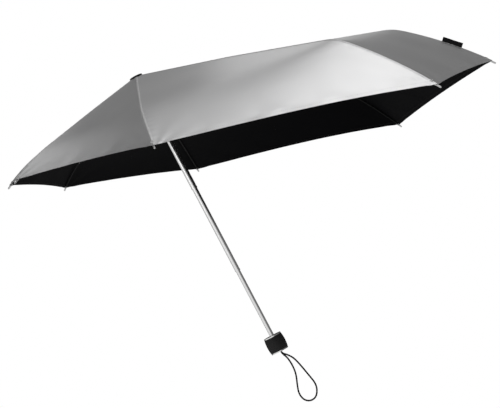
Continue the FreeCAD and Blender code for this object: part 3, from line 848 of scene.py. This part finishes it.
class ClothLine:
    """The line that the cloth's middle follows over one rib."""

    START = 0.0064
    FLAT = 0.0137
    STEP = 0.001
    CAP_EDGE = 0.016
    FOLD_EASE = (13, 7)
    FOLD_FULL = 0.040
    SLACK_EASE = (45, 30)
    SLACK_FULL = 0.110

    def __init__(self, rib: Rib) -> None:
        """Work out the line from the rib's hinges and rod.

        Args:
            rib: the rib.
        """
        self.rib = rib
        crown, up, down = (rib.pivot(segment.value) for segment in Segment)
        off = rib.hinge_offset
        inner = droop_of(up - crown) + math.asin(off / np.linalg.norm(up - crown))
        mid = droop_of(down - up) - math.asin(2 * off / np.linalg.norm(down - up))
        outer = math.radians(rib.droop)
        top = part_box("canopy")[1].z - CLOTH / 2
        marks = [np.array((self.START, top)), np.array((self.FLAT, top)),
                 up + (normal(inner) + normal(mid)) / 2 * (rib.lift - off),
                 down + (normal(mid) + normal(outer)) / 2 * (rib.lift + off)]
        last = 1 - rib.hem_in / rib.outer
        for share in np.linspace(0.08, 1.0, 24):
            place, droop = rib.rod(share * last)
            marks.append(place + normal(droop) * (rib.lift + (rib.tip_lift - rib.lift) * share))
        flat = np.array(marks)
        self.reach = flat[-1][0]
        self.folds = (up[0], down[0])
        self.slopes = {Segment.INNER: inner, Segment.MID: mid}
        self.places = np.arange(self.START, self.reach, self.STEP)
        raw = np.interp(self.places, flat[:, 0], flat[:, 1])
        self.heights = self.eased(raw, self.FOLD_EASE, self.FOLD_FULL)
        self.slack = self.eased(raw, self.SLACK_EASE, self.SLACK_FULL)
        self.places = np.append(self.places, self.reach)
        self.heights = np.append(self.heights, flat[-1][1])
        self.slack = np.append(self.slack, flat[-1][1])

    def eased(self, raw: np.ndarray, halves: tuple[int, int], full: float) -> np.ndarray:
        """The heights averaged twice, from none of it beside the cap to all of it at a distance."""
        soft = self.averaged(self.averaged(raw, halves[0]), halves[1])
        return raw + (soft - raw) * smoothstep(self.places, self.CAP_EDGE, full)

    @staticmethod
    def averaged(values: np.ndarray, half: int) -> np.ndarray:
        """A running mean that keeps both ends."""
        before = 2 * values[0] - values[half:0:-1]
        after = 2 * values[-1] - values[-2:-half - 2:-1]
        padded = np.concatenate([before, values, after])
        return np.convolve(padded, np.full(2 * half + 1, 1 / (2 * half + 1)), "valid")

    def at(self, share: np.ndarray, slack: np.ndarray | float = 0.0) -> np.ndarray:
        """Points at shares of the line's level reach, eased over the folds by the cloth's slack."""
        rho = self.START + share * (self.reach - self.START)
        height = np.interp(rho, self.places, self.heights)
        height = height + (np.interp(rho, self.places, self.slack) - height) * slack
        return self.rib.spatial(np.stack([rho, height], axis=-1))


class Gore:
    """One panel of cloth between two ribs, as a surface over shares outwards and across."""

    SAG = 0.009
    SCALLOP = 0.018
    TAIL_SCALLOP = 0.007
    HEM_PUCKER = 0.0010
    SEAM_PUCKER = 0.00035
    TIP_CREASE = 0.00045
    HEM_WAVES = (0.083, 0.047)
    SEAM_WAVE = 0.017

    def __init__(self, left: ClothLine, right: ClothLine, seed: int) -> None:
        """Keep the two ribs' lines and the panel's own wrinkles.

        Args:
            left: the line over one of its ribs.
            right: the line over the other.
            seed: the start of its random draw.
        """
        self.left, self.right = left, right
        self.phase = np.random.default_rng(seed).uniform(0, TURN, 6)
        ends = np.array((0.35, 0.8))
        a, b = left.at(ends), right.at(ends)
        middle = (a + b) / 2
        self.out = unit(middle[1] - middle[0])
        across = b[1] - a[1]
        self.across = unit(across - self.out * (across @ self.out))
        self.up = np.cross(self.out, self.across)
        self.length = (left.reach + right.reach) / 2
        beside_tail = "tail" in (left.rib.name, right.rib.name)
        self.scallop = self.TAIL_SCALLOP if beside_tail else self.SCALLOP

    def hem(self, v: np.ndarray) -> np.ndarray:
        """The share outwards at which the cloth ends."""
        return 1 - self.scallop * 4 * v * (1 - v)

    def wrinkles(self, u: np.ndarray, v: np.ndarray, width: np.ndarray) -> np.ndarray:
        """Height of the puckers along the hem and seams, and of the creases at the tips.

        Args:
            u: shares outwards.
            v: shares across.
            width: the panel's width at each u.

        Returns:
            The heights, in metres.
        """
        p = self.phase
        bow = np.sqrt(np.clip(4 * v * (1 - v), 0, 1))
        from_hem = (self.hem(v) - u) * self.length
        run = v * width
        near_hem = np.exp(-np.abs(from_hem) / 0.022) * smoothstep(from_hem, -0.002, 0.014)
        made = self.HEM_PUCKER * bow * near_hem * (
            np.sin(run * TURN / self.HEM_WAVES[0] + p[0])
            + 0.5 * np.sin(run * TURN / self.HEM_WAVES[1] + p[1]))
        for lateral, shift in ((v * width, 2), ((1 - v) * width, 3)):
            near = np.exp(-lateral / 0.010) * (1 - np.exp(-lateral / 0.0015))
            made = made + self.SEAM_PUCKER * near * np.sin(
                u * self.length * TURN / self.SEAM_WAVE + p[shift])
            radius = np.hypot(lateral, (1 - u) * self.length)
            angle = np.arctan2(lateral, np.abs(1 - u) * self.length + 0.010)
            fan = np.sin(angle * 11 + p[shift + 2]) * smoothstep(lateral, 0.001, 0.012)
            made = made + self.TIP_CREASE * fan * np.exp(-radius / 0.055)
        return made * smoothstep(u, 0.03, 0.12)

    def surface(self, u: np.ndarray, v: np.ndarray) -> np.ndarray:
        """Points of the cloth's middle at shares outwards and across."""
        bow = 4 * v * (1 - v)
        a, b = self.left.at(u, bow), self.right.at(u, bow)
        width = np.linalg.norm(b - a, axis=-1)
        sag = self.SAG * width * bow * (1 - 0.7 * u ** 6)
        rise = self.wrinkles(u, v, width) - sag
        return a * (1 - v)[..., None] + b * v[..., None] + rise[..., None] * self.up

    def normal(self, u: np.ndarray, v: np.ndarray) -> np.ndarray:
        """The cloth's outward normal."""
        step = 2e-3
        u0, u1 = np.clip(u - step, 0, 1.02), np.clip(u + step, 0, 1.02)
        v0, v1 = np.clip(v - step, 0, 1), np.clip(v + step, 0, 1)
        along = self.surface(u1, v) - self.surface(u0, v)
        over = self.surface(u, v1) - self.surface(u, v0)
        return unit(np.cross(along, over))

    def share_at(self, line: ClothLine, distance: float, v: np.ndarray) -> np.ndarray:
        """The share outwards at which the cloth reaches a distance along a rib's heading."""
        low, high = np.zeros_like(v), np.ones_like(v)
        for _ in range(40):
            middle = (low + high) / 2
            short = self.surface(middle, v) @ line.rib.heading < distance
            low, high = np.where(short, middle, low), np.where(short, high, middle)
        return (low + high) / 2

    def flat_map(self, points: np.ndarray) -> np.ndarray:
        """Where points lie on the cut cloth, in metres."""
        return np.stack([points @ self.out, points @ self.across], axis=-1)


@dataclass(frozen=True)
class Canopy:
    """The cloth: silver outside and black inside, sewn from eight panels."""

    thickness: float = CLOTH
    crown_edge: float = 0.0110
    hem_width: float = 0.0070
    hem_turn: float = 0.0004
    hem_above: float = 0.00012
    hem_below: float = 0.00040
    thread_lift: float = 0.0001
    row_step: float = 0.0065
    columns: int = 21
    bundle: float = 0.0065
    inner_bundle: float = 0.0040
    rib_clear: float = 0.0027
    seam_half: float = 0.0030
    seam_step: float = 0.004
    seam_short: float = 0.0005
    seam_bite: float = 0.0001
    seam_sink: float = 0.00035
    least_outer: float = 0.016
    least_area: float = 0.31
    needle_in: float = 0.0056
    eyelet_in: float = 0.0075
    eyelet_radius: float = 0.0019
    eyelet_wire: float = 0.0005

    def limits(self, gore: Gore, line: ClothLine, segment: Segment,
               v: np.ndarray) -> tuple[np.ndarray, np.ndarray]:
        """The shares outwards between which a rib segment carries the cloth."""
        hem = gore.hem(v)
        first, second = (gore.share_at(line, fold, v) for fold in line.folds)
        second = np.minimum(second, hem - self.least_outer / gore.length)
        edges = [gore.share_at(line, self.crown_edge, np.zeros_like(v)), first, second, hem]
        start = list(Segment).index(segment)
        return edges[start], edges[start + 1]

    def panel(self, gore: Gore, line: ClothLine, segment: Segment) -> bpy.types.Object:
        """Build the cloth of half a panel over one rib segment.

        Args:
            gore: the panel.
            line: the rib's line that this half hangs on.
            segment: the rib's segment.

        Returns:
            The piece.
        """
        mirrored = line is gore.right
        spread = np.linspace(0, 1, self.columns) ** 1.6 * 0.5
        v = 1 - spread if mirrored else spread
        low, high = self.limits(gore, line, segment, v)
        rows = max(8, int(float(np.max(high - low)) * gore.length / self.row_step))
        steps = np.linspace(0, 1, rows)
        hemmed = segment is Segment.OUTER
        u = low + (high - low) * steps[:, None]
        if hemmed:
            fold = np.array((self.hem_width, self.hem_width - self.hem_turn, self.hem_turn,
                             0.0)) / gore.length
            u = np.concatenate([low + (high - fold[0] - low) * steps[:-1, None],
                                high - fold[:, None]])
        rows = len(u)
        v = np.broadcast_to(v, u.shape)
        middle, up = gore.surface(u, v), gore.normal(u, v)
        above = np.full(u.shape, self.thickness / 2)
        below = above.copy()
        if hemmed:
            above[-3:-1] += self.hem_above
            below[-3:-1] += self.hem_below
        shape = Shape()
        faces = grid_faces(rows, self.columns)
        if not mirrored:
            faces = turned_over(faces)
        maps = gore.flat_map(middle).reshape(-1, 2)
        shape.add((middle + up * above[..., None]).reshape(-1, 3), faces, 0,
                  up.reshape(-1, 3), maps)
        shape.add((middle - up * below[..., None]).reshape(-1, 3), turned_over(faces), 1,
                  -up.reshape(-1, 3), maps)
        close_edge(shape, rows, self.columns, flipped=not mirrored)
        name = f"{line.rib.name}_{segment.value}_panel_{'right' if mirrored else 'left'}"
        if hemmed:
            inset = self.needle_in / gore.length
            needle = gore.surface(high - inset, v[0])
            out = gore.normal(high - inset, v[0])
            stitched(shape, needle + out * (self.thickness / 2 + self.thread_lift), out, 2)
            stitched(shape, needle - out * (self.thickness / 2 + self.hem_below), -out, 3)
        piece = shape.made(name, [Finish.SILVER, Finish.LINING, Finish.THREAD,
                                  Finish.DARK_THREAD])
        self.hang(piece, line, segment, middle)
        return piece

    def hang(self, piece: bpy.types.Object, line: ClothLine, segment: Segment,
             middle: np.ndarray) -> None:
        """Args:
            piece: the cloth.
            line: the rib's line that it hangs on.
            segment: the rib's segment.
            middle: the cloth's middle, row by row from its seam.
        """
        body = f"{line.rib.name}_{segment.value}"
        seam = middle[:, 0]
        along = unit(seam[-1] - seam[0])
        outer_edge = middle[:, -1].mean(axis=0) - seam.mean(axis=0)
        outer_edge = outer_edge + middle[-1, -1] - seam[-1]
        across = unit(outer_edge - along * (outer_edge @ along))
        offsets = (middle - seam[0]) @ across
        width = float(offsets.max() - min(0.0, offsets.min()))
        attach(piece, body)
        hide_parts("canopy")
        tuple(seam[0] + across * self.rib_clear)
        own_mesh(piece)
        lengths = (middle - seam[0]) @ along
        length = float(lengths.max() - lengths.min())
        u_side = middle[1:, :-1] - middle[:-1, :-1]
        v_side = middle[:-1, 1:] - middle[:-1, :-1]
        area = float(np.linalg.norm(np.cross(u_side, v_side), axis=-1).sum())
        width = max(width, area / length)

    def seam(self, line: ClothLine, before: Gore, after: Gore, segment: Segment) -> None:
        """Build the felled seam that lies over one rib segment, with its two rows of stitches.

        Args:
            line: the rib's line.
            before: the panel on one side of it.
            after: the panel on its other side.
            segment: the rib's segment.
        """
        offsets, lifts, tilts = SEAM_PROFILE.T
        offsets = offsets * self.seam_half
        low, high = self.limits(after, line, segment, np.array([0.0]))
        rows = max(6, int((high[0] - low[0]) * line.reach / self.seam_step))
        u = np.linspace(low[0], high[0], rows)
        if segment is Segment.OUTER:
            u = np.append(u[:-1], u[-1] - self.seam_short / line.reach)
        columns, ups = [], []
        for offset in offsets:
            gore = before if offset < 0 else after
            a, b = gore.left.at(u), gore.right.at(u)
            share = np.minimum(abs(offset) / np.linalg.norm(b - a, axis=-1), 0.5)
            share = 1 - share if offset < 0 else share
            columns.append(gore.surface(u, share))
            ups.append(gore.normal(u, share))
        middle, up = np.stack(columns, axis=1), np.stack(ups, axis=1)
        spine = unit(ups[2] + ups[4])
        up[:, 3] = spine
        across = unit(middle[:, -1] - middle[:, 0])
        rounded = unit(up + across[:, None] * tilts[:, None])
        top = middle + up * (self.thickness / 2 + lifts)[None, :, None]
        base = middle + up * (self.thickness / 2 - self.seam_bite)
        shape = Shape()
        width = len(offsets)
        maps = np.stack([np.repeat(u * line.reach, width), np.tile(offsets, rows)], axis=1)
        faces = grid_faces(rows, width)
        shape.add(top.reshape(-1, 3), turned_over(faces), 0, rounded.reshape(-1, 3), maps)
        shape.add(base.reshape(-1, 3), faces, 0, -up.reshape(-1, 3), maps)
        close_edge(shape, rows, width)
        for column, inner in ((1, 2), (5, 4)):
            place = top[:, column] * 0.35 + top[:, inner] * 0.65
            stitched(shape, place, up[:, inner], 1)
        seam = shape.made(f"{line.rib.name}_{segment.value}_seam", [Finish.SILVER, Finish.THREAD])
        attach(seam, f"{line.rib.name}_{segment.value}")
        if segment in line.slopes:
            upright = line.rib.spatial(normal(line.slopes[segment]))
            fold = line.rib.spatial(line.rib.pivot("mid"))
            tuple(fold - upright * self.seam_sink)
            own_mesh(seam)

    def eyelet(self, line: ClothLine, before: Gore, after: Gore) -> None:
        """Build the bright eyelet in the cloth's corner at a tip."""
        share = np.array([1 - self.eyelet_in / line.reach])
        zero, one = np.array([0.02]), np.array([0.98])
        up = unit(after.normal(share, zero)[0] + before.normal(share, one)[0])
        centre = line.at(share)[0] + up * (self.thickness / 2 + self.eyelet_wire)
        shape = Shape()
        swept(shape, ring_path(centre, up, self.eyelet_radius, 24), self.eyelet_wire, 8,
              closed=True)
        ring = shape.made(f"{line.rib.name}_eyelet", [Finish.RING])
        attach(ring, f"{line.rib.name}_outer")

    def crown_disc(self) -> None:
        """Build the small round of cloth that the cap holds down."""
        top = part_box("canopy")[1].z
        shape = Shape()
        sides = 96
        angles = angles_round(sides)
        hole, under = ClothLine.START, top - self.thickness
        levels = ((hole, under), (hole, top), (self.crown_edge, top), (self.crown_edge, under))
        faces = grid_faces(len(levels), sides, True) + closing_faces(3 * sides, sides)
        shape.add(np.concatenate([round_z(angles, r, z) for r, z in levels]), turned_over(faces))
        disc = shape.made("crown_cloth_disc", [Finish.SILVER])
        disc.data.set_sharp_from_angle(angle=math.radians(40))
        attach(disc, "top_tube")

    def build(self) -> None:
        """Build every panel, seam and eyelet."""
        lines = [ClothLine(rib) for rib in RIBS]
        gores = [Gore(line, lines[(i + 1) % len(lines)], 11 + i) for i, line in enumerate(lines)]
        for i, line in enumerate(lines):
            before, after = gores[i - 1], gores[i]
            for segment in Segment:
                self.panel(after, line, segment)
                self.panel(before, line, segment)
                self.seam(line, before, after, segment)
            self.eyelet(line, before, after)
            LOG.info("%s cloth reaches %.0f mm", line.rib.name, line.reach * 1000)
        self.crown_disc()


@dataclass(frozen=True)
class LabelTab:
    """The bare woven tab that stands on the tail's seam."""

    length: float = 0.038
    height: float = 0.0086
    thickness: float = 0.0008
    from_tip: float = 0.082
    lift: float = 0.00015
    wave: float = 0.0007
    wave_length: float = 0.031
    least_width: float = 0.010

    def build(self) -> None:
        """Build the folded tab with a slight wave, in the room of its CAD solid."""
        rib = RIBS[0]
        share = 1 - self.from_tip / rib.outer
        centre, droop = rib.rod(share)
        rise = rib.lift + (rib.tip_lift - rib.lift) * share / (1 - rib.hem_in / rib.outer)
        foot = centre + normal(droop) * (rise + self.lift)
        rows, columns = 33, 15
        along = np.linspace(-0.5, 0.5, rows)[:, None] * self.length
        tall = np.linspace(0, 1, columns)[None, :]
        wave = self.wave * np.sin(along * TURN / self.wave_length + 0.7) * tall
        half = self.thickness / 2 * np.sqrt(np.clip(1 - (np.maximum(tall, 0.9) - 0.9) ** 2 / 0.0101,
                                                    0.02, 1))
        rising = (tall * self.height)[..., None] * normal(droop)
        base = rib.spatial(foot + along[..., None] * ahead(droop) + rising)
        side = np.array((0.0, 1.0, 0.0))
        maps = np.stack(np.broadcast_arrays(along, tall * self.height), axis=-1).reshape(-1, 2)
        shape = Shape()
        faces = grid_faces(rows, columns)
        front = base + (wave + half)[..., None] * side
        back = base + (wave - half)[..., None] * side
        shape.add(front.reshape(-1, 3), faces, 0, maps=maps)
        shape.add(back.reshape(-1, 3), turned_over(faces), 0, maps=maps)
        close_edge(shape, rows, columns)
        edge = base[:, -2] + wave[:, -2][..., None] * side
        for shift in (-1, 1):
            stitched(shape, edge + side * shift * (self.thickness / 2),
                     np.tile(side * shift, (rows, 1)), 1, 0.0012, 0.0018)
        tab = shape.made("bare_woven_tab", [Finish.LABEL, Finish.DARK_THREAD])
        tab.data.set_sharp_from_angle(angle=math.radians(60))
        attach(tab, "tail_outer")
        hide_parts("label_tab")
        LOG.info("%s", tab.name)


# ---- studio ------------------------------------------------------------------------------------
@dataclass(frozen=True)
class Studio:
    """Camera, soft light, white surround and pale floor."""

    eye: tuple[float, float, float] = (0.14238, -2.58995, 0.16794)
    right: tuple[float, float, float] = (0.8839, 0.0368, -0.4662)
    up: tuple[float, float, float] = (0.4670, -0.0156, 0.8841)
    lens: float = 101.58
    sensor: float = 36.0
    floor_height: float = -0.90
    floor_radius: float = 3.1

    def camera(self) -> None:
        """Set up the camera: long lens, rolled, a little below the canopy."""
        data = bpy.data.cameras.new("camera")
        data.sensor_fit = "HORIZONTAL"
        data.sensor_width = self.sensor
        data.lens = self.lens
        data.clip_end = 50.0
        camera = placed("camera", data)
        right, up = Vector(self.right), Vector(self.up)
        back = right.cross(up)
        turn = Matrix((right, up, back)).transposed().to_4x4()
        camera.matrix_world = Matrix.Translation(self.eye) @ turn
        bpy.context.scene.camera = camera

    def surround(self) -> None:
        """Fill the surround: dark low down behind, bright overhead and in front on the left."""
        world = bpy.data.worlds.new("surround")
        bpy.context.scene.world = world
        world.use_nodes = True
        graph = Graph(world.node_tree)
        x, y, z = graph.parts(graph.place("Generated"))
        high = x * 0.33 + y * -0.22 + z * 0.92
        wide = high.ramp(0.10, 0.80) * (x.ramp(-0.20, 0.12) * 0.16 + 0.03)
        sky = wide + high.ramp(0.80, 0.99) ** 1.1 * 0.52 + 0.100
        back = (x * 0.12 + y * 0.64 + z * 0.76).ramp(0.90, 1.0) * x.ramp(-0.02, 0.14) * 0.30
        side = (x * -0.75 + y * -0.66).ramp(0.15, 0.60)
        glow = sky + back + side * (1.0 - z.ramp(0.15, 0.5)) * z.ramp(-0.8, -0.4) * 0.68
        lit, plain = (graph.node("ShaderNodeBackground", sockets={"Strength": strength,
                                                                  "Color": WHITE})
                      for strength in (glow, 1.0))
        seen = graph.node("ShaderNodeLightPath").outputs["Is Camera Ray"]
        both = graph.node("ShaderNodeMixShader", sockets={0: seen, 1: lit.outputs[0],
                                                         2: plain.outputs[0]})
        graph.node("ShaderNodeOutputWorld", sockets={"Surface": both.outputs[0]})

    def box(self, name: str, place: Sequence[float], target: Sequence[float], size: float,
            power: float) -> None:
        """Set up one soft box."""
        data = bpy.data.lights.new(name, "AREA")
        data.shape = "DISK"
        data.size = size
        data.energy = power
        light = placed(name, data)
        light.visible_camera = False
        light.location = place
        aim = Vector(target) - Vector(place)
        light.rotation_euler = aim.to_track_quat("-Z", "Y").to_euler()

    def floor(self) -> None:
        """Lay the pale floor well below the hanging cord."""
        shape = Shape()
        sides = 96
        shape.add(round_z(angles_round(sides), self.floor_radius, self.floor_height),
                  [tuple(range(sides))])
        floor = shape.made("floor", [])
        paint = Paint("pale_floor", Roughness=0.9, Emission_Color=WHITE, Emission_Strength=0.28)
        grain = paint.noise(paint.place(), 3.0, 3.0)
        paint.feed("Base Color", paint.mix(grain, (0.86, 0.86, 0.86), (0.90, 0.90, 0.90)))
        floor.data.materials.append(paint.material)

    def build(self) -> None:
        """Set up everything round the umbrella."""
        bpy.context.scene.view_settings.view_transform = "Standard"
        self.camera()
        self.surround()
        self.box("key", (1.35, -0.85, 3.3), (0.30, -0.10, 0.4), 1.5, 8.5)
        self.box("fill", (-1.8, -2.2, 0.9), (0.0, 0.0, 0.2), 1.2, 4.0)
        self.box("front_card", (-0.36, 0.22, 0.90), (-0.21, -0.24, 0.47), 0.28, 0.13)
        self.box("back_card", (0.38, 0.34, 0.82), (0.28, -0.28, 0.42), 0.45, 0.27)
        self.floor()


def main() -> None:
    """Build the scene in order."""
    logging.basicConfig(level=logging.INFO, format="%(name)s: %(message)s")
    Studio().build()
    WristCord().build()
    Grip().build()
    Pole().build()
    for rib in RIBS:
        rib.build()
        LOG.info("%s rib", rib.name)
    Canopy().build()
    LabelTab().build()


if __name__ == "__main__":
    main()
